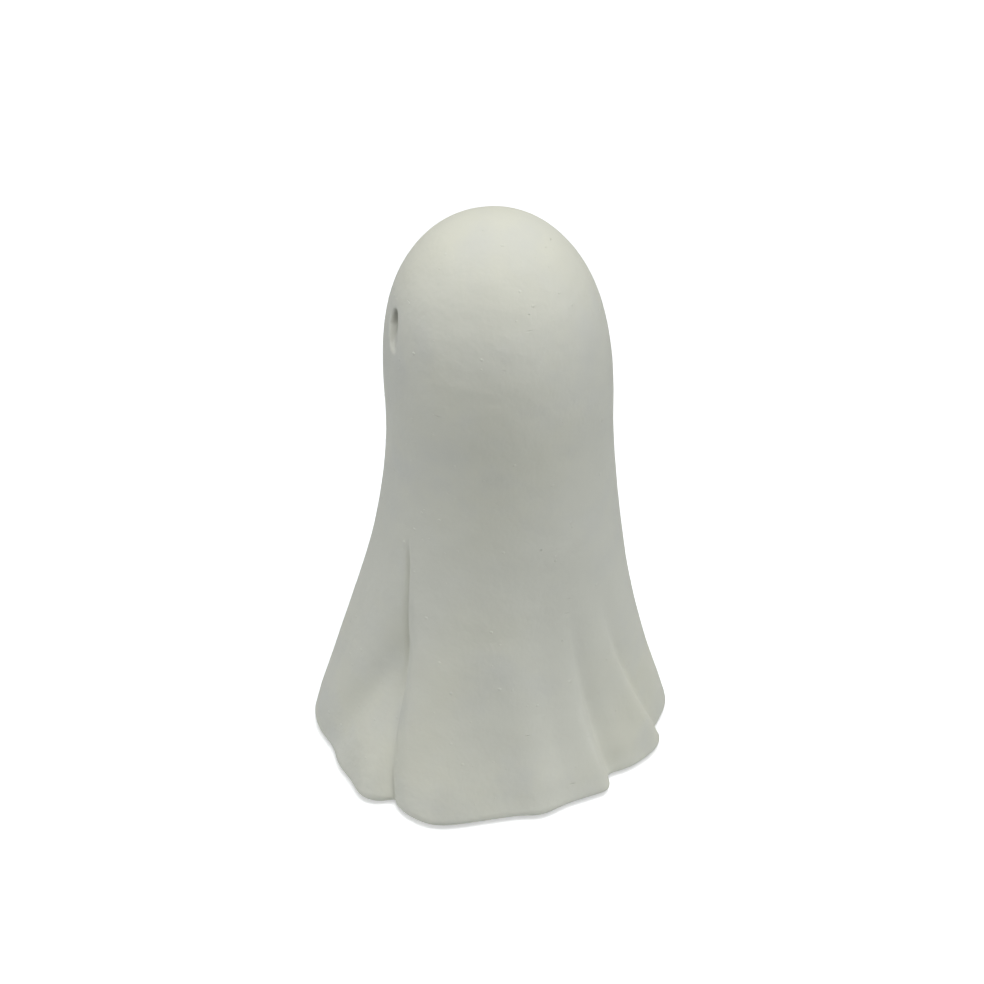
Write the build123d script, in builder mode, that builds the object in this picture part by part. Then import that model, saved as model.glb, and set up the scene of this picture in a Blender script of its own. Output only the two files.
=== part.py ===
"""Ceramic ghost figure: a hollow draped shell with two scooped eyes, standing on felt feet.

Millimetres. The figure stands on Z = 0, +Z is up, it faces -Y and its left side is +X.
Angles are degrees round the figure from +X, so the face is at -90 and the back is at 90.
"""

import os
from collections import namedtuple
from math import cos, exp, log, pi, radians, sin, sqrt

from build123d import *

# Overall shape of the draped body
body_height = 150
dome_height = 50.5
head_radius = 28
dome_fullness = 2.9
hem_radius = 49.4
flare_curve = 1.72
lean_back = 2.2
lean_height = 84
head_back = 0.55

# Casting
hem_round = 2.5
wall = 5
crown_wall = 6

# Eyes
eye_width = 4.4
eye_height = 11.2
eye_level = 126
eye_spread = 23.8
eye_tilt = 21
eye_lip = 0.8

# Felt feet
foot_radius = 3
foot_thickness = 0.8
foot_angles = {"left": -19, "back": 93, "right": 178, "front": 253}

# Drape folds. Each meets the hem at hem_angle, turns by turn on its way up and dies out at top.
# depth is how far it sinks at the hem, swell what it gains above it, and a ridge has them negative.
# before and after are the widths of its two flanks in degrees.
Fold = namedtuple("Fold", "hem_angle turn bend depth swell before after top")
folds = [
    Fold(hem_angle=4, turn=0, bend=1.0, depth=0.0, swell=7.5, before=52, after=48, top=110),
    Fold(hem_angle=176, turn=0, bend=1.0, depth=0.8, swell=7.5, before=48, after=52, top=110),
    Fold(hem_angle=-86, turn=0, bend=1.0, depth=0.0, swell=-2.0, before=16, after=12, top=56),
    Fold(hem_angle=-68, turn=30, bend=1.1, depth=2.0, swell=4.0, before=9, after=9, top=54),
    Fold(hem_angle=-44, turn=1, bend=1.0, depth=0.6, swell=9.5, before=12, after=6, top=60),
    Fold(hem_angle=-33, turn=-14.5, bend=1.3, depth=1.8, swell=2.2, before=5, after=3.5, top=78),
    Fold(hem_angle=-19, turn=-8, bend=1.2, depth=-1.8, swell=0.0, before=8, after=9, top=32),
    Fold(hem_angle=7, turn=-8, bend=1.0, depth=4.0, swell=1.0, before=20, after=8, top=60),
    Fold(hem_angle=29, turn=-6, bend=1.0, depth=4.2, swell=1.0, before=11, after=22, top=80),
    Fold(hem_angle=44, turn=-20, bend=0.9, depth=-0.6, swell=-0.5, before=8, after=4, top=50),
    Fold(hem_angle=47.5, turn=-15, bend=1.0, depth=3.6, swell=-2.0, before=3, after=7, top=70),
    Fold(hem_angle=58, turn=-6, bend=1.0, depth=1.4, swell=4.0, before=9, after=8, top=66),
    Fold(hem_angle=72, turn=-22, bend=0.8, depth=0.5, swell=-5.0, before=8, after=3.5, top=58),
    Fold(hem_angle=79.5, turn=-25, bend=0.9, depth=2.3, swell=0.0, before=5, after=8, top=56),
    Fold(hem_angle=110, turn=-5, bend=1.0, depth=2.6, swell=1.5, before=7, after=9, top=58),
    Fold(hem_angle=135, turn=-7, bend=1.0, depth=3.6, swell=1.5, before=10, after=4, top=66),
    Fold(hem_angle=160, turn=3, bend=1.0, depth=3.0, swell=1.0, before=12, after=12.5, top=48),
    Fold(hem_angle=188, turn=4, bend=1.0, depth=4.2, swell=1.5, before=6, after=13, top=62),
    Fold(hem_angle=216, turn=-7, bend=1.0, depth=3.2, swell=1.5, before=13, after=6, top=55),
    Fold(hem_angle=242, turn=-6, bend=1.0, depth=2.8, swell=1.5, before=9, after=9, top=60),
    Fold(hem_angle=260, turn=-2, bend=1.0, depth=1.8, swell=0.5, before=7, after=7, top=40),
]

# Sections that carry the outer surface
outline_points = 144
skirt_sections = 11
dome_sections = 6
hem_sections = 3
hollow_steps = 5

dome_base = body_height - dome_height
outline_angles = [360 * step / outline_points for step in range(outline_points)]


def plain_radius(height):
    """Radius of the body before its folds, at a height above the hem."""
    if height < dome_base:
        return head_radius + (hem_radius - head_radius) * (1 - height / dome_base) ** flare_curve
    rise = min((height - dome_base) / dome_height, 1)
    return head_radius * sqrt(1 - rise**dome_fullness)


def lean(height):
    """How far the body's middle sits behind the hem's middle."""
    rise = height / body_height
    sharpness = log(0.5) / log(lean_height / body_height)
    return lean_back * sin(pi * rise**sharpness) ** 2 + head_back * rise**4


def fold_depth(fold, angle, height):
    rise = min(height / fold.top, 1)
    away = (angle - fold.hem_angle - fold.turn * rise**fold.bend + 180) % 360 - 180
    flank = fold.before if away < 0 else fold.after
    fade = 1 - rise**2 * (3 - 2 * rise)
    return (fold.depth + fold.swell * rise) * fade * exp(-((away / flank) ** 2))


def outer_radius(angle, height):
    return plain_radius(height) - sum(fold_depth(fold, angle, height) for fold in folds)


def inner_radius(height):
    """Largest round hollow that leaves the wall inside every fold."""
    thinnest = min(outer_radius(angle, height) for angle in outline_angles)
    return thinnest - wall - abs(lean(height) - hollow_centre)


def outer_point(angle, height, inset=0):
    reach = outer_radius(angle, height) - inset
    turn = radians(angle)
    return Vector(reach * cos(turn), lean(height) + reach * sin(turn), foot_thickness + height)


def outline(height, folded_height, inset=0):
    """Closed outline at one height, as a face."""
    with BuildSketch(Plane.XY.offset(foot_thickness + height)) as section:
        with BuildLine():
            places = [outer_point(angle, folded_height, inset) for angle in outline_angles]
            points = [(place.X, place.Y) for place in places]
            add(Edge.make_spline(points, periodic=True, parameters=range(outline_points + 1)))
        make_face()
    return section.sketch


def eye_plane(angle):
    """Plane on the surface at the eye, with its Y axis up the eye and its Z axis outwards."""
    centre = outer_point(angle, eye_level)
    along = outer_point(angle + 1, eye_level) - outer_point(angle - 1, eye_level)
    up = outer_point(angle, eye_level + 1) - outer_point(angle, eye_level - 1)
    return Plane(origin=centre, x_dir=along, z_dir=along.cross(up))


hollow_centre = lean_back / 2

# Outlines of the rounded hem, then of the folded skirt and the domed head
hem_turns = [pi / 2 * step / hem_sections for step in range(hem_sections + 1)]
skirt_span = dome_base - hem_round
skirt_heights = [hem_round + skirt_span * step / skirt_sections for step in range(skirt_sections)]
dome_turns = [pi / 2 * step / dome_sections for step in range(dome_sections)]
dome_heights = [dome_base + dome_height * sin(turn) ** (2 / dome_fullness) for turn in dome_turns]

hem_outlines = [
    outline(hem_round * (1 - cos(turn)), hem_round, inset=hem_round * (1 - sin(turn))) for turn in hem_turns
]
body_outlines = [outline(height, height) for height in skirt_heights + dome_heights]
crown_tip = Vertex(0, lean(body_height), foot_thickness + body_height)

# Eye scoop
with BuildPart() as eye_scoop:
    with BuildSketch():
        with BuildLine():
            bottom = (0, -eye_height / 2)
            top = (0, eye_height / 2)
            Spline(bottom, (eye_width / 2, 0), top, tangents=[(1, 0), (-1, 0)])
            Line(top, bottom)
        make_face()
    revolve(axis=Axis.Y)

# Ghost shell
with BuildPart() as ghost_shell:
    loft(sections=hem_outlines)
    loft(sections=[*body_outlines, crown_tip])
    with BuildSketch(Plane(origin=(0, hollow_centre, foot_thickness), x_dir=(1, 0, 0), z_dir=(0, -1, 0))):
        with BuildLine():
            side_heights = [dome_base * step / hollow_steps for step in range(hollow_steps + 1)]
            crown_turns = [pi / 2 * step / hollow_steps for step in range(1, hollow_steps + 1)]
            crown_height = dome_height - crown_wall
            crown_radius = inner_radius(dome_base)
            side_points = [(inner_radius(height), height) for height in side_heights]
            crown_points = [(crown_radius * cos(t), dome_base + crown_height * sin(t)) for t in crown_turns]
            inside = Spline(*side_points, *crown_points)
            Polyline(inside @ 1, (0, 0), inside @ 0)
        make_face()
    revolve(axis=Axis((0, hollow_centre, 0), (0, 0, 1)), mode=Mode.SUBTRACT)
    for angle, tilt in ((-90 + eye_spread, eye_tilt), (-90 - eye_spread, -eye_tilt)):
        with Locations(eye_plane(angle).rotated((0, 0, tilt)).location):
            add(eye_scoop.part, mode=Mode.SUBTRACT)
    head_edges = ghost_shell.edges().filter_by_position(Axis.Z, dome_base, body_height - crown_wall)
    fillet(head_edges, radius=eye_lip)

os.makedirs("parts", exist_ok=True)
ghost_shell.part.label = "ghost_shell"
export_step(ghost_shell.part, "parts/ghost_shell.step")

# Felt feet, each in the middle of the flat rim under a lobe of the hem
for side, angle in foot_angles.items():
    turn = radians(angle)
    rim_outside = outer_point(angle, hem_round, hem_round)
    rim_inside = Vector(inner_radius(0) * cos(turn), hollow_centre + inner_radius(0) * sin(turn))
    rim_middle = (rim_outside + rim_inside) / 2
    with BuildPart() as foot:
        with BuildSketch(Plane(origin=(rim_middle.X, rim_middle.Y, 0))):
            Circle(foot_radius)
        extrude(amount=foot_thickness)
    foot.part.label = f"felt_foot_{side}"
    export_step(foot.part, f"parts/felt_foot_{side}.step")
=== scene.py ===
import math

import bmesh
import bpy
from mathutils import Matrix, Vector


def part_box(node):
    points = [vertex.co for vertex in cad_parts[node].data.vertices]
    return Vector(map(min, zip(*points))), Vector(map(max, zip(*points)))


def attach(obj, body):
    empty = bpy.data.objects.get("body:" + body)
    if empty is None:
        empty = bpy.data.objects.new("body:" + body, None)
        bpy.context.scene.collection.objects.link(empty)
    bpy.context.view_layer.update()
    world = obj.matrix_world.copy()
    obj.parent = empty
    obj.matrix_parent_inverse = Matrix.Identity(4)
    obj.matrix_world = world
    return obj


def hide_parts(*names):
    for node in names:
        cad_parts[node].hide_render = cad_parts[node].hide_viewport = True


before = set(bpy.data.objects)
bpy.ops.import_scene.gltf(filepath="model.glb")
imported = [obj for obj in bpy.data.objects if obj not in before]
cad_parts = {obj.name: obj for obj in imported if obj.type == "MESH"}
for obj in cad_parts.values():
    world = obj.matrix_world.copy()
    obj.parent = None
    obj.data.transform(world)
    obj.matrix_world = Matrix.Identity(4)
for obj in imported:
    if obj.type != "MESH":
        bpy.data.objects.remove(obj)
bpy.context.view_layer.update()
mm = 0.001
shellLow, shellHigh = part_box("ghost_shell")
print("frame loaded:", sorted(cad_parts))


# a number that lives in a node tree, so that shape rules read as formulas

class Wire:
    def __init__(self, tree, socket):
        self.tree = tree
        self.socket = socket

    def calc(self, operation, *others):
        node = self.tree.nodes.new("ShaderNodeMath")
        node.operation = operation
        for slot, value in zip(node.inputs, (self, *others)):
            plug(self.tree, slot, value)
        return Wire(self.tree, node.outputs[0])

    def __add__(self, other):
        return self.calc("ADD", other)

    def __sub__(self, other):
        return self.calc("SUBTRACT", other)

    def __rsub__(self, other):
        return self.calc("MULTIPLY", -1).calc("ADD", other)

    def __mul__(self, other):
        return self.calc("MULTIPLY", other)

    def __truediv__(self, other):
        return self.calc("DIVIDE", other)

    def __rtruediv__(self, other):
        return self.calc("POWER", -1).calc("MULTIPLY", other)

    def __pow__(self, other):
        return self.calc("POWER", other)

    def clamped(self):
        return self.calc("MAXIMUM", 0).calc("MINIMUM", 1)

    def eased(self):
        return self * self * (3 - self * 2)


def plug(tree, slot, value):
    if isinstance(value, Wire):
        value = value.socket
    if isinstance(value, bpy.types.NodeSocket):
        tree.links.new(value, slot)
    else:
        slot.default_value = value


def addNode(tree, kind, inputs=None, **settings):
    node = tree.nodes.new(kind)
    for name, value in settings.items():
        setattr(node, name, value)
    for name, value in (inputs or {}).items():
        plug(tree, node.inputs[name], value)
    return node


def newTree(name, kind, inputs, outputs):
    tree = bpy.data.node_groups.new(name, kind)
    for label, (socketType, value) in inputs.items():
        socket = tree.interface.new_socket(name=label, in_out="INPUT", socket_type=socketType)
        if value is not None:
            socket.default_value = value
    for label, socketType in outputs.items():
        tree.interface.new_socket(name=label, in_out="OUTPUT", socket_type=socketType)
    source = tree.nodes.new("NodeGroupInput")
    sink = tree.nodes.new("NodeGroupOutput")
    return tree, {label: Wire(tree, source.outputs[label]) for label in inputs}, sink


def floats(**values):
    return {label: ("NodeSocketFloat", value) for label, value in values.items()}


def useGroup(tree, group, kind="GeometryNodeGroup", **inputs):
    return addNode(tree, kind, inputs, node_tree=group)


def bakeTree(obj, tree, values):
    modifier = obj.modifiers.new(tree.name, "NODES")
    modifier.node_group = tree
    for item in tree.interface.items_tree:
        if item.in_out == "INPUT" and item.name in values:
            modifier[item.identifier] = values[item.name]
    depsgraph = bpy.context.evaluated_depsgraph_get()
    mesh = bpy.data.meshes.new_from_object(obj.evaluated_get(depsgraph), depsgraph=depsgraph)
    obj.modifiers.clear()
    obj.data = mesh
    return obj


def newPiece(name, mesh=None):
    obj = bpy.data.objects.new(name, mesh or bpy.data.meshes.new(name))
    bpy.context.scene.collection.objects.link(obj)
    return obj


# surface effects that the clay uses more than once, each as a mask

def mottleGroup():
    tree, wires, sink = newTree(
        "mottle", "ShaderNodeTree", floats(Scale=30.0, Low=0.4, High=0.6), {"Mask": "NodeSocketFloat"}
    )
    coords = addNode(tree, "ShaderNodeTexCoord")
    noise = addNode(
        tree, "ShaderNodeTexNoise",
        {"Vector": coords.outputs["Object"], "Scale": wires["Scale"], "Detail": 4.0},
    )
    span = addNode(
        tree, "ShaderNodeMapRange",
        {"Value": noise.outputs["Fac"], "From Min": wires["Low"], "From Max": wires["High"]},
    )
    plug(tree, sink.inputs["Mask"], span.outputs["Result"])
    return tree


def dotsGroup():  # round spots scattered in cells, 1 in the middle of a spot
    smallest = 0.3  # of the largest spot
    tree, wires, sink = newTree(
        "dots", "ShaderNodeTree",
        {"Stretch": ("NodeSocketVector", (1, 1, 1)), **floats(Scale=300.0, Size=0.2, Share=0.3)},
        {"Mask": "NodeSocketFloat"},
    )
    coords = addNode(tree, "ShaderNodeTexCoord")
    laid = addNode(tree, "ShaderNodeMapping", {"Vector": coords.outputs["Object"], "Scale": wires["Stretch"]})
    cells = addNode(tree, "ShaderNodeTexVoronoi", {"Vector": laid.outputs[0], "Scale": wires["Scale"]})
    pick = addNode(tree, "ShaderNodeSeparateColor", {"Color": cells.outputs["Color"]})
    chosen = Wire(tree, pick.outputs["Red"]).calc("LESS_THAN", wires["Share"])
    size = wires["Size"] * (Wire(tree, pick.outputs["Green"]) * (1 - smallest) + smallest)
    spot = (1 - Wire(tree, cells.outputs["Distance"]) / size).clamped().eased()
    plug(tree, sink.inputs["Mask"], spot * chosen)
    return tree


mottle = mottleGroup()
dots = dotsGroup()


def newMaterial(name):
    material = bpy.data.materials.new(name)
    material.use_nodes = True
    tree = material.node_tree
    return material, tree, tree.nodes["Principled BSDF"]


def mixColor(tree, mask, first, second):
    node = tree.nodes.new("ShaderNodeMix")
    node.data_type = "RGBA"
    plug(tree, node.inputs[0], mask)
    plug(tree, node.inputs[6], first)
    plug(tree, node.inputs[7], second)
    return node.outputs[2]


# unglazed off-white clay, with its relief in millimetres, and painted shade for the eye scoops, pinholes and
# nicks
bisqueLook = {
    "clay": (0.738, 0.746, 0.668, 1),
    "warmClay": (0.752, 0.756, 0.655, 1),
    "coolClay": (0.703, 0.714, 0.662, 1),
    "paleSpeck": (0.82, 0.825, 0.77, 1),
    "pinhole": (0.52, 0.52, 0.46, 1),
    "paintedEyeShade": (0.52, 0.52, 0.465, 1),
    "warmPatches": dict(Scale=24.0, Low=0.46, High=0.68),
    "coolPatches": dict(Scale=60.0, Low=0.50, High=0.72),
    "sandedPatches": dict(Scale=45.0, Low=0.42, High=0.60),
    "specks": dict(Scale=230.0, Size=0.16, Share=0.16),
    "pinholes": dict(Scale=150.0, Size=0.10, Share=0.20),
    "nicks": dict(Scale=150.0, Stretch=(0.6, 0.6, 2.6), Size=0.13, Share=0.40),
    "tint": dict(coolPatches=0.7, specks=0.6, pinholes=0.5, nicks=0.35),
    "relief": dict(grain=0.035, lumps=0.42, sanding=0.03, specks=0.10, pinholes=0.13, nicks=0.11),
    "grainScale": 900.0,
    "lumpScale": 130.0,
    "sandingTurn": (0.28, 0.0, 0.0),
    "sandingScale": (110.0, 110.0, 620.0),
    "roughness": 0.86,
    "roughnessSpread": 0.12,
    "specular": 0.15,
}


def bisqueMaterial(look):
    material, tree, shader = newMaterial("bisque")

    def masked(group, **settings):
        return Wire(tree, useGroup(tree, group, "ShaderNodeGroup", **settings).outputs["Mask"])

    coords = addNode(tree, "ShaderNodeTexCoord").outputs["Object"]

    def noise(vector, scale):
        node = addNode(tree, "ShaderNodeTexNoise", {"Vector": vector, "Scale": scale, "Detail": 3.0})
        return Wire(tree, node.outputs["Fac"])

    tint = look["tint"]
    specks = masked(dots, **look["specks"])
    pinholes = masked(dots, **look["pinholes"])
    nicks = masked(dots, **look["nicks"])
    color = mixColor(tree, masked(mottle, **look["warmPatches"]), look["clay"], look["warmClay"])
    coolPatches = masked(mottle, **look["coolPatches"])
    color = mixColor(tree, coolPatches * tint["coolPatches"], color, look["coolClay"])
    color = mixColor(tree, specks * tint["specks"], color, look["paleSpeck"])
    # pinholes and nicks are sunk in the relief and also painted darker, a painted shade in these small pits
    color = mixColor(tree, pinholes * tint["pinholes"] + nicks * tint["nicks"], color, look["pinhole"])
    # painted shade in the eye scoops, read from the mask that the shell's eye band stores
    paintedEyeShade = addNode(tree, "ShaderNodeAttribute", attribute_name="paintedEyeShade")
    color = mixColor(tree, paintedEyeShade.outputs["Fac"], color, look["paintedEyeShade"])
    plug(tree, shader.inputs["Base Color"], color)

    # grain, hand-worked lumps, sanding in patches, and specks, pinholes and short nicks
    high = look["relief"]
    grain = noise(coords, look["grainScale"])
    lumps = noise(coords, look["lumpScale"])
    laid = addNode(
        tree, "ShaderNodeMapping",
        {"Vector": coords, "Rotation": look["sandingTurn"], "Scale": look["sandingScale"]},
    )
    sanding = noise(laid.outputs[0], 1.0) * masked(mottle, **look["sandedPatches"])
    relief = (
        grain * high["grain"] + lumps * high["lumps"] + sanding * high["sanding"] + specks * high["specks"]
        - pinholes * high["pinholes"] - nicks * high["nicks"]
    )
    bump = addNode(tree, "ShaderNodeBump", {"Strength": 1.0, "Distance": mm, "Height": relief})
    plug(tree, shader.inputs["Normal"], bump.outputs["Normal"])
    spread = look["roughnessSpread"]
    plug(tree, shader.inputs["Roughness"], grain * spread + (look["roughness"] - spread / 2))
    shader.inputs["Specular IOR Level"].default_value = look["specular"]
    return material


# pressed grey felt
feltLook = {
    "dark": (0.10, 0.10, 0.10, 1),
    "pale": (0.22, 0.21, 0.20, 1),
    "fibreScale": 1600.0,
    "fibreTwist": 1.5,
    "fibreHeight": 0.1 * mm,
    "fibreStrength": 0.8,
    "roughness": 0.95,
    "sheen": 0.4,
}


def feltMaterial(look):
    material, tree, shader = newMaterial("felt")
    coords = addNode(tree, "ShaderNodeTexCoord")
    fibres = addNode(
        tree, "ShaderNodeTexNoise",
        {"Vector": coords.outputs["Object"], "Scale": look["fibreScale"],
         "Detail": 4.0, "Distortion": look["fibreTwist"]},
    )
    color = mixColor(tree, fibres.outputs["Fac"], look["dark"], look["pale"])
    plug(tree, shader.inputs["Base Color"], color)
    bump = addNode(
        tree, "ShaderNodeBump",
        {"Strength": look["fibreStrength"], "Distance": look["fibreHeight"], "Height": fibres.outputs["Fac"]},
    )
    plug(tree, shader.inputs["Normal"], bump.outputs["Normal"])
    shader.inputs["Roughness"].default_value = look["roughness"]
    shader.inputs["Sheen Weight"].default_value = look["sheen"]
    return material


bisque = bisqueMaterial(bisqueLook)
felt = feltMaterial(feltLook)
print("materials made")


# draped shell: bands of a rule, closed into one skin
shell = {
    "Lift": shellLow[2],
    "Body Height": shellHigh[2] - shellLow[2],
    "Dome Height": 50.5 * mm,
    "Head Radius": 28 * mm,
    "Dome Fullness": 2.9,
    "Hem Radius": 49.4 * mm,
    "Flare Curve": 1.72,
    "Lean Back": 2.2 * mm,
    "Lean Height": 84 * mm,
    "Head Back": 0.55 * mm,
    "Hem Round": 1.9 * mm,
    "Wall": 5 * mm,
    "Crown Wall": 6 * mm,
    "Fold Room": 6.3 * mm,
    "Wobble": 0.45 * mm,
}
shellBands = {
    "columns": 420, "skirtRows": 96, "cheekRows": 16, "eyeRows": 62, "crownRows": 26,
    "hemRows": 9, "rimRows": 3, "hollowRows": 16, "weld": 0.004 * mm, "sharpAngle": 50.0,
}
eyeBand = {"low": 117 * mm, "high": 136 * mm}
# columns crowd together at the crease and the eye
columnGather = {"centre": -48.0, "strength": 0.5, "creaseReach": 38.0}
# slight unevenness from smoothing by hand, fading out at the foot
handWork = {"scale": 45.0, "detail": 3.0, "level": 0.55, "footFade": 12 * mm, "footShare": 0.3}

# each fold: where it meets the hem, how it turns on its way up, how deep it is and where it dies out
# angles are degrees, lengths millimetres, and a ridge has a depth or swell below 0
drapeFolds = {
    "nearSlim": dict(hemAngle=4, turn=0, bend=1.0, depth=0.0, swell=7.5, before=52, after=48, top=110),
    "farSlim": dict(hemAngle=176, turn=0, bend=1.0, depth=0.8, swell=7.5, before=48, after=52, top=110),
    "faceRidge": dict(hemAngle=-86, turn=0, bend=1.0, depth=0.0, swell=-2.0, before=16, after=12, top=56),
    "frontSide": dict(hemAngle=-68, turn=30, bend=1.1, depth=2.0, swell=4.0, before=9, after=8, top=54),
    "frontLobe": dict(hemAngle=-44, turn=1, bend=1.0, depth=0.6, swell=9.5, before=12, after=6, top=60),
    "frontSwell": dict(hemAngle=-45, turn=2, bend=1.0, depth=-3.0, swell=0.0, before=10, after=7, top=32),
    "crease": dict(hemAngle=-32.6, turn=-16.9, bend=0.85, depth=1.9, swell=0.4, before=5, after=4.5, top=78),
    "creaseLobe": dict(hemAngle=-18.5, turn=11, bend=1.0, depth=-1.35, swell=0.0, before=7, after=9, top=36),
    "pan": dict(hemAngle=7, turn=-6, bend=1.0, depth=3.9, swell=0.0, before=18, after=12, top=44),
    "hemBump": dict(hemAngle=17, turn=0, bend=1.0, depth=-0.4, swell=0.0, before=5, after=5, top=16),
    "ripple": dict(hemAngle=29, turn=-6, bend=1.0, depth=4.2, swell=1.0, before=13, after=22, top=80),
    "edgeRidge": dict(hemAngle=44, turn=-20, bend=0.9, depth=-0.6, swell=-0.5, before=8, after=4, top=50),
    "rightEdge": dict(hemAngle=47.5, turn=-15, bend=1.0, depth=3.6, swell=-2.0, before=3, after=7, top=70),
    "backScoop": dict(hemAngle=58, turn=-6, bend=1.0, depth=1.4, swell=4.0, before=9, after=8, top=66),
    "backRidge": dict(hemAngle=72, turn=-22, bend=0.8, depth=0.5, swell=-6.0, before=8, after=3.5, top=58),
    "backLobe": dict(hemAngle=70, turn=-4, bend=1.0, depth=-0.4, swell=0.0, before=5, after=4, top=24),
    "backFold": dict(hemAngle=79.5, turn=-25, bend=0.9, depth=2.3, swell=0.0, before=5, after=8, top=56),
    "behindFirst": dict(hemAngle=110, turn=-5, bend=1.0, depth=2.6, swell=1.5, before=7, after=9, top=58),
    "behindSecond": dict(hemAngle=135, turn=-7, bend=1.0, depth=3.6, swell=1.5, before=10, after=4, top=66),
    "farBroad": dict(hemAngle=160, turn=3, bend=1.0, depth=3.0, swell=1.0, before=12, after=12.5, top=48),
    "farDeep": dict(hemAngle=188, turn=4, bend=1.0, depth=4.2, swell=1.5, before=6, after=13, top=62),
    "farSoft": dict(hemAngle=216, turn=-7, bend=1.0, depth=3.2, swell=1.5, before=13, after=6, top=55),
    "farFront": dict(hemAngle=242, turn=-6, bend=1.0, depth=2.8, swell=1.5, before=9, after=9, top=60),
    "faceSide": dict(hemAngle=260, turn=-2, bend=1.0, depth=1.8, swell=0.5, before=7, after=7, top=40),
    "creaseLine": dict(
        hemAngle=-32.6, turn=-16.1, bend=0.85, depth=0.3, swell=1.0, before=1.5, after=1.0, top=73.5,
        hold=0.86,
    ),
    "creaseTrough": dict(
        hemAngle=-33.3, turn=-11.9, bend=0.85, depth=1.1, swell=-0.5, before=2.6, after=1.6, top=38, hold=0.1
    ),
    "backLine": dict(
        hemAngle=77, turn=-25, bend=0.9, depth=0.8, swell=0.0, before=1.2, after=2.5, top=54, hold=0.4
    ),
    "hemRoll": dict(hemAngle=0, turn=0, bend=1.0, depth=0.5, swell=0.0, before=900, after=900, top=10),
    "frontRoll": dict(hemAngle=-50, turn=0, bend=1.0, depth=1.9, swell=0.0, before=8, after=7, top=14),
    "backRoll": dict(hemAngle=52, turn=0, bend=1.0, depth=0.5, swell=0.0, before=6, after=7, top=12),
}
eyes = {
    "left": dict(eyeAngle=-67.2, tilt=21.0),
    "right": dict(eyeAngle=-112.8, tilt=-21.0),
}
eyeSize = {"width": 4.6 * mm, "tall": 9.8 * mm, "level": 125.1 * mm, "depth": 1.9 * mm, "upward": 1.0}
eyeOval = 2.5  # 2 is an ellipse, more is squarer
# share of the depth that is left at each distance from the middle, with the outline at the scale's value
eyeProfile = {
    "scale": 0.7,
    "points": ((0.40, 0.97), (0.56, 0.88), (0.64, 0.60), (0.69, 0.26), (0.74, 0.07), (0.81, 0.012)),
}
# painted shade in the scoop, full in its upper part and thin further down
paintedEyeShadeMask = {
    "upperSlope": 6.0, "upperStart": -1.5, "lowerSlope": 4.0, "lowerStart": 2.6, "lowerShare": 0.3,
    "edge": 1.12, "edgeSlope": 6.0,
}


def foldGroup():
    tree, wires, sink = newTree(
        "drapeFold", "GeometryNodeTree",
        floats(angle=0.0, height=0.0, hemAngle=0.0, turn=0.0, bend=1.0, depth=0.0, swell=0.0,
               before=5.0, after=5.0, top=60.0, hold=0.0),
        {"sink": "NodeSocketFloat"},
    )
    rise = (wires["height"] / (wires["top"] * mm)).clamped()
    path = wires["hemAngle"] + wires["turn"] * rise ** wires["bend"]
    away = (wires["angle"] - path).calc("WRAP", 180, -180)
    isAfter = away.calc("GREATER_THAN", 0)
    flank = wires["before"] + (wires["after"] - wires["before"]) * isAfter
    spread = away / flank
    fade = 1 - ((rise - wires["hold"]) / (1 - wires["hold"])).clamped().eased()
    valley = (spread * spread * -1).calc("EXPONENT")
    plug(tree, sink.inputs["sink"], (wires["depth"] + wires["swell"] * rise) * fade * valley * mm)
    return tree


def eyeGroup():
    tree, wires, sink = newTree(
        "eyeScoop", "GeometryNodeTree",
        floats(angle=0.0, height=0.0, radius=0.0, eyeAngle=0.0, tilt=0.0,
               level=0.0, width=0.0, tall=0.0, depth=0.0, upward=0.0),
        {"sink": "NodeSocketFloat", "shade": "NodeSocketFloat"},
    )
    across = (wires["angle"] - wires["eyeAngle"]).calc("WRAP", 180, -180).calc("RADIANS") * wires["radius"]
    up = wires["height"] - wires["level"]
    turn = wires["tilt"].calc("RADIANS")
    a = (across * turn.calc("COSINE") + up * turn.calc("SINE")) / (wires["width"] * 0.5)
    b = (up * turn.calc("COSINE") - across * turn.calc("SINE")) / (wires["tall"] * 0.5)
    out = (a.calc("ABSOLUTE") ** eyeOval + b.calc("ABSOLUTE") ** eyeOval) ** (1 / eyeOval)
    curve = addNode(tree, "ShaderNodeFloatCurve", {"Value": (out * eyeProfile["scale"]).calc("MINIMUM", 1)})
    line = curve.mapping.curves[0]
    line.points[0].location = (0.0, 1.0)
    line.points[1].location = (1.0, 0.0)
    for x, y in eyeProfile["points"]:
        line.points.new(x, y)
    curve.mapping.update()
    # the scoop is deeper upwards and runs out at its lower end
    slope = (b.calc("MAXIMUM", -1).calc("MINIMUM", 1) * wires["upward"]).calc("EXPONENT")
    plug(tree, sink.inputs["sink"], wires["depth"] * slope * Wire(tree, curve.outputs[0]))
    # painted shade inside the scoop: full in its upper part, a thin share lower down, none at its lower end,
    # fading out at the lip
    upper = (b * paintedEyeShadeMask["upperSlope"] + paintedEyeShadeMask["upperStart"]).clamped()
    lower = (b * paintedEyeShadeMask["lowerSlope"] + paintedEyeShadeMask["lowerStart"]).clamped() * paintedEyeShadeMask["lowerShare"]
    inside = ((paintedEyeShadeMask["edge"] - out) * paintedEyeShadeMask["edgeSlope"]).clamped()
    plug(tree, sink.inputs["shade"], inside * upper.calc("MAXIMUM", lower))
    return tree


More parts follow.
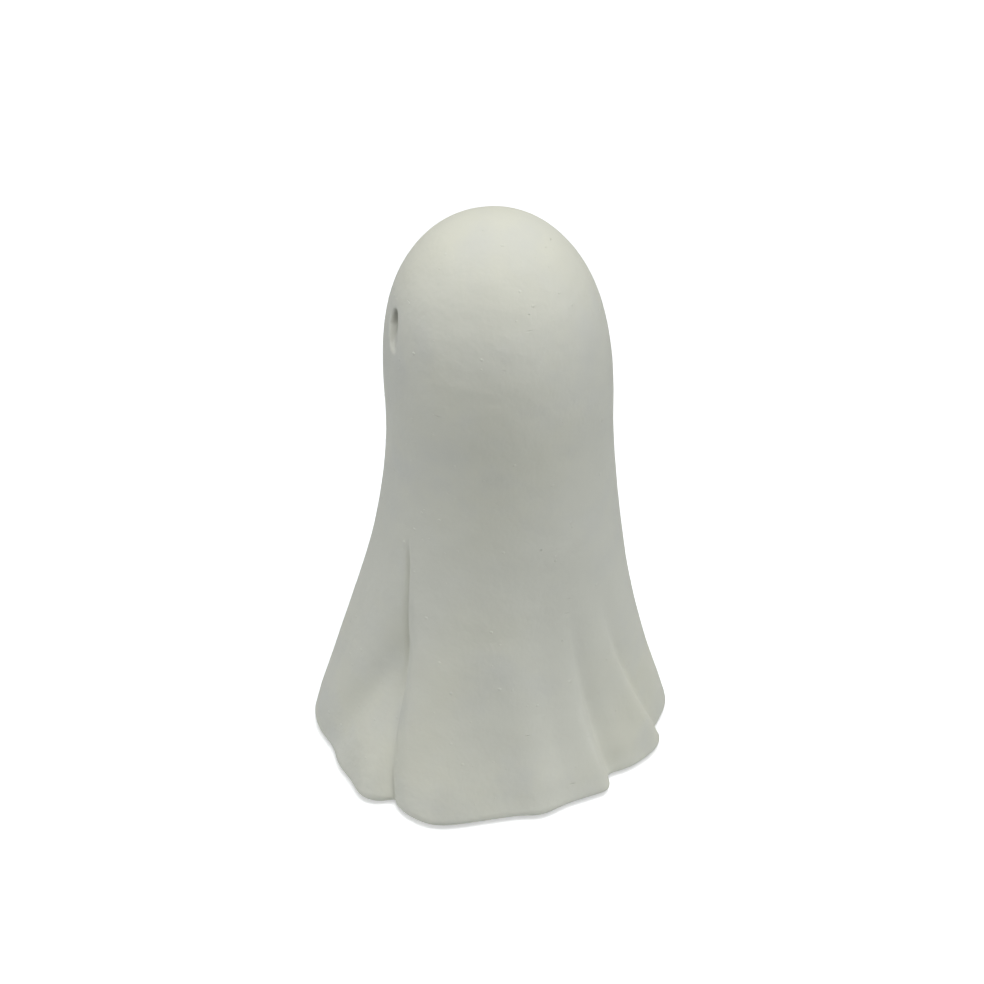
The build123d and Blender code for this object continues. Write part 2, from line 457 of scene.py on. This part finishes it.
def shellTree(material):
    inputs = floats(**shell)
    tree, wires, sink = newTree("drapedShell", "GeometryNodeTree", inputs, {"Geometry": "NodeSocketGeometry"})
    fold = foldGroup()
    scoop = eyeGroup()
    position = addNode(tree, "GeometryNodeInputPosition")
    place = addNode(tree, "ShaderNodeSeparateXYZ", {"Vector": position.outputs[0]})
    x, y, z = (Wire(tree, place.outputs[axis]) for axis in "XYZ")

    # position on a band's plain tube: angle round it, and share from its foot to its top
    roundAngle = y.calc("ARCTAN2", x)
    offCentre = roundAngle - math.radians(columnGather["centre"])
    angle = (roundAngle - offCentre.calc("SINE") * columnGather["strength"]).calc("DEGREES")
    share = z + 0.5
    domeBase = wires["Body Height"] - wires["Dome Height"]

    # columns follow the crease up the skirt
    def followCrease(height):
        crease = drapeFolds["crease"]
        rise = (height / (crease["top"] * mm)).clamped()
        near = (angle - crease["hemAngle"]).calc("WRAP", 180, -180) / columnGather["creaseReach"]
        return angle + rise ** crease["bend"] * crease["turn"] * (near * near * -1).calc("EXPONENT")

    def plainRadius(height):
        flare = (1 - height / domeBase).calc("MAXIMUM", 0) ** wires["Flare Curve"]
        skirt = wires["Head Radius"] + (wires["Hem Radius"] - wires["Head Radius"]) * flare
        rise = ((height - domeBase) / wires["Dome Height"]).clamped()
        dome = (1 - rise ** wires["Dome Fullness"]).calc("SQRT")
        return skirt * dome

    def lean(height):
        half = wires["Lean Height"] / wires["Body Height"]
        sharpness = 1 / half.calc("LOGARITHM", 0.5)
        rise = (height / wires["Body Height"]).clamped()
        swing = (rise ** sharpness * math.pi).calc("SINE")
        return wires["Lean Back"] * swing * swing + wires["Head Back"] * rise ** 4

    def eyeSockets(height, turned):
        here = dict(angle=turned, height=height, radius=plainRadius(height))
        left, right = (useGroup(tree, scoop, **here, **settings, **eyeSize) for settings in eyes.values())
        return [Wire(tree, left.outputs[name]) + right.outputs[name] for name in ("sink", "shade")]

    def drapedRadius(height, turned):
        radius = plainRadius(height)
        for settings in drapeFolds.values():
            valley = useGroup(tree, fold, angle=turned, height=height, **settings)
            radius = radius - valley.outputs["sink"]
        return radius

    def band(rows, radius, turned, middle, height, shade=None):
        tube = addNode(
            tree, "GeometryNodeMeshCylinder",
            {"Vertices": shellBands["columns"], "Side Segments": rows, "Radius": 1.0, "Depth": 1.0},
            fill_type="NONE",
        )
        mesh = tube.outputs["Mesh"]
        # the eye band carries the mask of painted shade for its scoops
        if shade:
            kept = addNode(
                tree, "GeometryNodeStoreNamedAttribute",
                {"Geometry": mesh, "Name": "paintedEyeShade", "Value": shade},
            )
            mesh = kept.outputs[0]
        way = turned.calc("RADIANS")
        spot = addNode(
            tree, "ShaderNodeCombineXYZ",
            {"X": radius * way.calc("COSINE"), "Y": middle + radius * way.calc("SINE"),
             "Z": wires["Lift"] + height},
        )
        moved = addNode(tree, "GeometryNodeSetPosition", {"Geometry": mesh, "Position": spot.outputs[0]})
        return moved.outputs[0]

    def drapedBand(rows, height):
        turned = followCrease(height)
        return band(rows, drapedRadius(height, turned), turned, lean(height), height)

    hemRound = wires["Hem Round"]
    skirt = drapedBand(shellBands["skirtRows"], hemRound + share * (domeBase - hemRound))
    cheek = drapedBand(shellBands["cheekRows"], domeBase + share * (eyeBand["low"] - domeBase))
    eyeHeight = share * (eyeBand["high"] - eyeBand["low"]) + eyeBand["low"]
    eyeTurned = followCrease(eyeHeight)
    scooped, shade = eyeSockets(eyeHeight, eyeTurned)
    eyeRadius = drapedRadius(eyeHeight, eyeTurned) - scooped
    eyeLevel = band(shellBands["eyeRows"], eyeRadius, eyeTurned, lean(eyeHeight), eyeHeight, shade)
    startRise = (eyeBand["high"] - domeBase) / wires["Dome Height"]
    startTurn = (startRise ** (wires["Dome Fullness"] * 0.5)).calc("ARCSINE")
    climb = (startTurn + share * (math.pi / 2 - startTurn)).calc("SINE") ** (2 / wires["Dome Fullness"])
    crown = drapedBand(shellBands["crownRows"], domeBase + wires["Dome Height"] * climb)

    # hem's quarter round, with the folds it has at its upper edge
    quarterTurn = share * (math.pi / 2)
    hemHeight = hemRound * (1 - quarterTurn.calc("COSINE"))
    hemTurned = followCrease(hemRound)
    hemEdge = drapedRadius(hemRound, hemTurned)
    hemRadius = hemEdge - hemRound * (1 - quarterTurn.calc("SINE"))
    hemMiddle = lean(hemRound)
    hem = band(shellBands["hemRows"], hemRadius, hemTurned, hemMiddle, hemHeight)

    # round hollow inside, and the flat rim between it and the hem
    hollowMiddle = wires["Lean Back"] * 0.5
    hollowTop = wires["Body Height"] - wires["Crown Wall"]
    hollowHeight = quarterTurn.calc("SINE") * hollowTop
    foldRoom = wires["Fold Room"] * (1 - (hollowHeight / domeBase).clamped().eased())
    hollowRise = ((hollowHeight - domeBase) / (hollowTop - domeBase)).clamped()
    hollowSide = plainRadius(hollowHeight.calc("MINIMUM", domeBase)) - wires["Wall"] - hollowMiddle - foldRoom
    hollowRadius = hollowSide * (1 - hollowRise * hollowRise).calc("SQRT")
    hollow = band(shellBands["hollowRows"], hollowRadius, hemTurned, hollowMiddle, hollowHeight)

    footRadius = wires["Hem Radius"] - wires["Wall"] - hollowMiddle - wires["Fold Room"]
    rimRadius = footRadius + (hemEdge - hemRound - footRadius) * share
    rimMiddle = hollowMiddle + (hemMiddle - hollowMiddle) * share
    rim = band(shellBands["rimRows"], rimRadius, hemTurned, rimMiddle, 0)

    joined = addNode(tree, "GeometryNodeJoinGeometry")
    for part in (skirt, cheek, eyeLevel, crown, hem, hollow, rim):
        tree.links.new(part, joined.inputs[0])
    closed = addNode(
        tree, "GeometryNodeMergeByDistance", {"Geometry": joined.outputs[0], "Distance": shellBands["weld"]}
    )

    # hand-smoothed unevenness
    spot = addNode(tree, "GeometryNodeInputPosition")
    noise = addNode(
        tree, "ShaderNodeTexNoise",
        {"Vector": spot.outputs[0], "Scale": handWork["scale"], "Detail": handWork["detail"]},
    )
    tall = addNode(tree, "ShaderNodeSeparateXYZ", {"Vector": spot.outputs[0]})
    aboveFoot = (Wire(tree, tall.outputs["Z"]) - wires["Lift"]) / handWork["footFade"]
    clearOfFoot = (aboveFoot - handWork["footShare"]).clamped()
    push = (Wire(tree, noise.outputs["Fac"]) - handWork["level"]) * wires["Wobble"] * clearOfFoot
    normal = addNode(tree, "GeometryNodeInputNormal")
    shove = addNode(tree, "ShaderNodeVectorMath", {0: normal.outputs[0], "Scale": push}, operation="SCALE")
    uneven = addNode(
        tree, "GeometryNodeSetPosition", {"Geometry": closed.outputs[0], "Offset": shove.outputs[0]}
    )
    smooth = addNode(tree, "GeometryNodeSetShadeSmooth", {"Geometry": uneven.outputs[0]})
    solid = addNode(tree, "GeometryNodeRealizeInstances", {"Geometry": smooth.outputs[0]})
    painted = addNode(tree, "GeometryNodeSetMaterial", {"Geometry": solid.outputs[0], "Material": material})
    plug(tree, sink.inputs["Geometry"], painted.outputs[0])
    return tree


def makeShell():
    obj = bakeTree(newPiece("drapedShell"), shellTree(bisque), shell)
    work = bmesh.new()
    work.from_mesh(obj.data)
    bmesh.ops.recalc_face_normals(work, faces=work.faces)
    work.to_mesh(obj.data)
    work.free()
    obj.data.set_sharp_from_angle(angle=math.radians(shellBands["sharpAngle"]))
    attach(obj, "root")
    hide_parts("ghost_shell")
    print("shell:", len(obj.data.vertices), "points,", len(obj.data.polygons), "faces")
    return obj


drapedShell = makeShell()


# lumps of grit in the clay, mostly sunk in the outer skin
grit = {
    "Density": 9000.0,
    "Smallest": 0.22 * mm,
    "Largest": 0.62 * mm,
    "Flatness": 0.22,
    "Foot Clearance": 7 * mm,
    "Seed": 7,
}
gritLump = {"segments": 10, "rings": 6, "sunk": 0.45, "narrow": 0.8}
outwardLift = 14 * mm  # tips the way out upwards, so that the crown counts as outer skin


def gritTree(material):
    sizes = {label: value for label, value in grit.items() if label != "Seed"}
    inputs = {
        "Geometry": ("NodeSocketGeometry", None), "Seed": ("NodeSocketInt", grit["Seed"]), **floats(**sizes),
    }
    tree, wires, sink = newTree("clayGrit", "GeometryNodeTree", inputs, {"Geometry": "NodeSocketGeometry"})
    spot = addNode(tree, "GeometryNodeInputPosition").outputs[0]
    facing = addNode(tree, "GeometryNodeInputNormal").outputs[0]
    around = addNode(tree, "ShaderNodeVectorMath", {0: spot, 1: (1, 1, 0)}, operation="MULTIPLY")
    outward = addNode(
        tree, "ShaderNodeVectorMath", {0: around.outputs[0], 1: (0, 0, outwardLift)}, operation="ADD"
    )
    outside = addNode(
        tree, "ShaderNodeVectorMath", {0: outward.outputs[0], 1: facing}, operation="DOT_PRODUCT"
    )
    height = addNode(tree, "ShaderNodeSeparateXYZ", {"Vector": spot}).outputs["Z"]
    clear = Wire(tree, height).calc("GREATER_THAN", wires["Foot Clearance"])
    chosen = Wire(tree, outside.outputs["Value"]).calc("GREATER_THAN", 0) * clear
    points = addNode(
        tree, "GeometryNodeDistributePointsOnFaces",
        {"Mesh": wires["Geometry"], "Selection": chosen, "Density": wires["Density"], "Seed": wires["Seed"]},
    )
    ball = addNode(
        tree, "GeometryNodeMeshUVSphere",
        {"Segments": gritLump["segments"], "Rings": gritLump["rings"], "Radius": 1.0},
    )
    lump = addNode(
        tree, "GeometryNodeTransform",
        {"Geometry": ball.outputs["Mesh"], "Translation": (0, 0, -gritLump["sunk"])},
    )
    size = addNode(tree, "FunctionNodeRandomValue", {"Seed": wires["Seed"]}, data_type="FLOAT")
    plug(tree, size.inputs[2], wires["Smallest"])
    plug(tree, size.inputs[3], wires["Largest"])
    across = Wire(tree, size.outputs[1])
    scale = addNode(
        tree, "ShaderNodeCombineXYZ",
        {"X": across, "Y": across * gritLump["narrow"], "Z": across * wires["Flatness"]},
    )
    placed = addNode(
        tree, "GeometryNodeInstanceOnPoints",
        {"Points": points.outputs["Points"], "Instance": lump.outputs[0],
         "Rotation": points.outputs["Rotation"], "Scale": scale.outputs[0]},
    )
    solid = addNode(tree, "GeometryNodeRealizeInstances", {"Geometry": placed.outputs[0]})
    smooth = addNode(tree, "GeometryNodeSetShadeSmooth", {"Geometry": solid.outputs[0]})
    painted = addNode(tree, "GeometryNodeSetMaterial", {"Geometry": smooth.outputs[0], "Material": material})
    plug(tree, sink.inputs["Geometry"], painted.outputs[0])
    return tree


def makeGrit():
    obj = bakeTree(newPiece("clayGrit", drapedShell.data.copy()), gritTree(bisque), grit)
    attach(obj, "root")
    print("grit:", len(obj.data.polygons), "faces")


makeGrit()


# pressed felt feet under the foot rim
feltFoot = {
    "Radius": 3 * mm,
    "Thickness": 0.8 * mm,
    "Pressed Edge": 0.22,
    "Fuzz": 0.07 * mm,
    "Fuzz Scale": 2600.0,
}
feltSides = ("left", "back", "right", "front")


def feltTree(material):
    inputs = {"Geometry": ("NodeSocketGeometry", None), **floats(**feltFoot)}
    tree, wires, sink = newTree("feltFoot", "GeometryNodeTree", inputs, {"Geometry": "NodeSocketGeometry"})
    disc = addNode(
        tree, "GeometryNodeMeshCylinder",
        {"Vertices": 64, "Side Segments": 8, "Fill Segments": 10, "Radius": 1.0, "Depth": 2.0},
        fill_type="TRIANGLE_FAN",
    )
    position = addNode(tree, "GeometryNodeInputPosition")
    place = addNode(tree, "ShaderNodeSeparateXYZ", {"Vector": position.outputs[0]})
    x, y, z = (Wire(tree, place.outputs[axis]) for axis in "XYZ")

    # the cut edge is pressed thinner, and its upper and lower corners are drawn in
    out = (x * x + y * y).calc("SQRT")
    reach = wires["Radius"] * (1 - wires["Pressed Edge"] * 0.4 * out ** 4 * z ** 4)
    thin = wires["Thickness"] * 0.5 * (1 - wires["Pressed Edge"] * out ** 8)
    pressed = addNode(tree, "ShaderNodeCombineXYZ", {"X": x * reach, "Y": y * reach, "Z": z * thin})
    shaped = addNode(
        tree, "GeometryNodeSetPosition", {"Geometry": disc.outputs["Mesh"], "Position": pressed.outputs[0]}
    )
    placed = addNode(
        tree, "GeometryNodeInstanceOnPoints", {"Points": wires["Geometry"], "Instance": shaped.outputs[0]}
    )
    solid = addNode(tree, "GeometryNodeRealizeInstances", {"Geometry": placed.outputs[0]})

    # loose fibres only pull the surface in, so the foot stays in its own space
    spot = addNode(tree, "GeometryNodeInputPosition")
    noise = addNode(
        tree, "ShaderNodeTexNoise", {"Vector": spot.outputs[0], "Scale": wires["Fuzz Scale"], "Detail": 2.0}
    )
    normal = addNode(tree, "GeometryNodeInputNormal")
    level = addNode(tree, "ShaderNodeSeparateXYZ", {"Vector": normal.outputs[0]})
    isSide = 1 - Wire(tree, level.outputs["Z"]).calc("ABSOLUTE")
    pull = Wire(tree, noise.outputs["Fac"]) * wires["Fuzz"] * isSide * -1
    shove = addNode(tree, "ShaderNodeVectorMath", {0: normal.outputs[0], "Scale": pull}, operation="SCALE")
    fuzzy = addNode(
        tree, "GeometryNodeSetPosition", {"Geometry": solid.outputs[0], "Offset": shove.outputs[0]}
    )
    smooth = addNode(tree, "GeometryNodeSetShadeSmooth", {"Geometry": fuzzy.outputs[0]})
    painted = addNode(tree, "GeometryNodeSetMaterial", {"Geometry": smooth.outputs[0], "Material": material})
    plug(tree, sink.inputs["Geometry"], painted.outputs[0])
    return tree


def makeFeltFeet():
    tree = feltTree(felt)
    for side in feltSides:
        low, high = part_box("felt_foot_" + side)
        middle = [(a + b) / 2 for a, b in zip(low, high)]
        seat = bpy.data.meshes.new("feltFoot" + side.capitalize())
        seat.from_pydata([middle], [], [])
        obj = bakeTree(newPiece(seat.name, seat), tree, feltFoot)
        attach(obj, "root")
        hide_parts("felt_foot_" + side)
    print("felt feet:", len(feltSides), "of", len(obj.data.polygons), "faces")


makeFeltFeet()


# floor, light and camera
# the floor's glow is only seen and lights nothing, and it rises away from the figure, where the lamps fade
floorLook = {
    "half": 4.0,
    "color": (0.83, 0.85, 0.87, 1),
    "roughness": 0.9,
    "glow": 0.5,
    "farGlow": 1.0,
    "near": 0.35,
    "far": 1.3,
}


def isSeen(tree):
    rays = addNode(tree, "ShaderNodeLightPath")
    seen = Wire(tree, rays.outputs["Is Camera Ray"]).calc("MAXIMUM", rays.outputs["Is Glossy Ray"])
    return seen.calc("MAXIMUM", rays.outputs["Is Transmission Ray"])


def makeFloor(look):
    mesh = bpy.data.meshes.new("floor")
    half = look["half"]
    corners = [(-half, -half, 0), (half, -half, 0), (half, half, 0), (-half, half, 0)]
    mesh.from_pydata(corners, [], [(0, 1, 2, 3)])
    obj = newPiece("floor", mesh)
    material, tree, shader = newMaterial("floorWhite")
    shader.inputs["Base Color"].default_value = look["color"]
    shader.inputs["Roughness"].default_value = look["roughness"]
    glow = addNode(tree, "ShaderNodeEmission", {"Color": (1, 1, 1, 1)})
    coords = addNode(tree, "ShaderNodeTexCoord")
    reach = addNode(tree, "ShaderNodeVectorMath", {0: coords.outputs["Object"]}, operation="LENGTH")
    rising = addNode(
        tree, "ShaderNodeMapRange",
        {"Value": reach.outputs["Value"], "From Min": look["near"], "From Max": look["far"],
         "To Min": look["glow"], "To Max": look["farGlow"]},
    )
    plug(tree, glow.inputs["Strength"], isSeen(tree) * rising.outputs["Result"])
    both = addNode(tree, "ShaderNodeAddShader")
    tree.links.new(shader.outputs[0], both.inputs[0])
    tree.links.new(glow.outputs[0], both.inputs[1])
    tree.links.new(both.outputs[0], tree.nodes["Material Output"].inputs["Surface"])
    mesh.materials.append(material)


lamps = {
    "overhead": dict(place=(0.25, 0.13, 1.6), size=0.95, energy=23.2, tint=(1.0, 1.0, 0.99)),
    "leftSide": dict(place=(-0.05, -0.80, 0.08), size=0.15, energy=0.95, tint=(0.94, 0.95, 1.0)),
    "rightSide": dict(place=(-0.05, 0.80, 0.08), size=0.15, energy=0.48, tint=(0.94, 0.95, 1.0)),
}
lampAim = Vector((0, 0, 80 * mm))
worldFill = 0.02


def makeLamps():
    for name, lamp in lamps.items():
        light = bpy.data.lights.new(name, "AREA")
        light.size = lamp["size"]
        light.energy = lamp["energy"]
        light.color = lamp["tint"]
        obj = bpy.data.objects.new(name, light)
        bpy.context.scene.collection.objects.link(obj)
        obj.location = lamp["place"]
        obj.rotation_euler = (lampAim - obj.location).to_track_quat("-Z", "Y").to_euler()


def makeWorld():
    world = bpy.data.worlds.new("studio")
    bpy.context.scene.world = world
    world.use_nodes = True
    tree = world.node_tree
    fill = tree.nodes["Background"]
    fill.inputs["Color"].default_value = (1, 1, 1, 1)
    fill.inputs["Strength"].default_value = worldFill
    backdrop = addNode(tree, "ShaderNodeBackground", {"Color": (1, 1, 1, 1), "Strength": 1.0})
    mix = addNode(tree, "ShaderNodeMixShader", {0: isSeen(tree)})
    tree.links.new(fill.outputs[0], mix.inputs[1])
    tree.links.new(backdrop.outputs[0], mix.inputs[2])
    tree.links.new(mix.outputs[0], tree.nodes["World Output"].inputs["Surface"])


shot = {
    "aim": Vector((0, 0, 75 * mm)),
    "distance": 480 * mm,
    "azimuth": 0.0,
    "elevation": 35.0,
    "focalPixels": 1895.0,
    "framePixels": 984.0,
    "middleX": 490.99,
    "middleY": 485.8,
}


def makeCamera(shot):
    camera = bpy.data.cameras.new("photoCamera")
    camera.sensor_width = 36
    camera.lens = shot["focalPixels"] / shot["framePixels"] * camera.sensor_width
    camera.shift_x = 0.5 - shot["middleX"] / shot["framePixels"]
    camera.shift_y = shot["middleY"] / shot["framePixels"] - 0.5
    camera.clip_start = 0.01
    obj = bpy.data.objects.new("photoCamera", camera)
    bpy.context.scene.collection.objects.link(obj)
    side = math.radians(shot["azimuth"])
    up = math.radians(shot["elevation"])
    toCamera = Vector((math.cos(side) * math.cos(up), math.sin(side) * math.cos(up), math.sin(up)))
    obj.location = shot["aim"] + toCamera * shot["distance"]
    obj.rotation_euler = (-toCamera).to_track_quat("-Z", "Y").to_euler()
    bpy.context.scene.camera = obj


makeFloor(floorLook)
makeLamps()
makeWorld()
makeCamera(shot)
bpy.context.scene.view_settings.view_transform = "Standard"
print("stage, lamps and camera set")
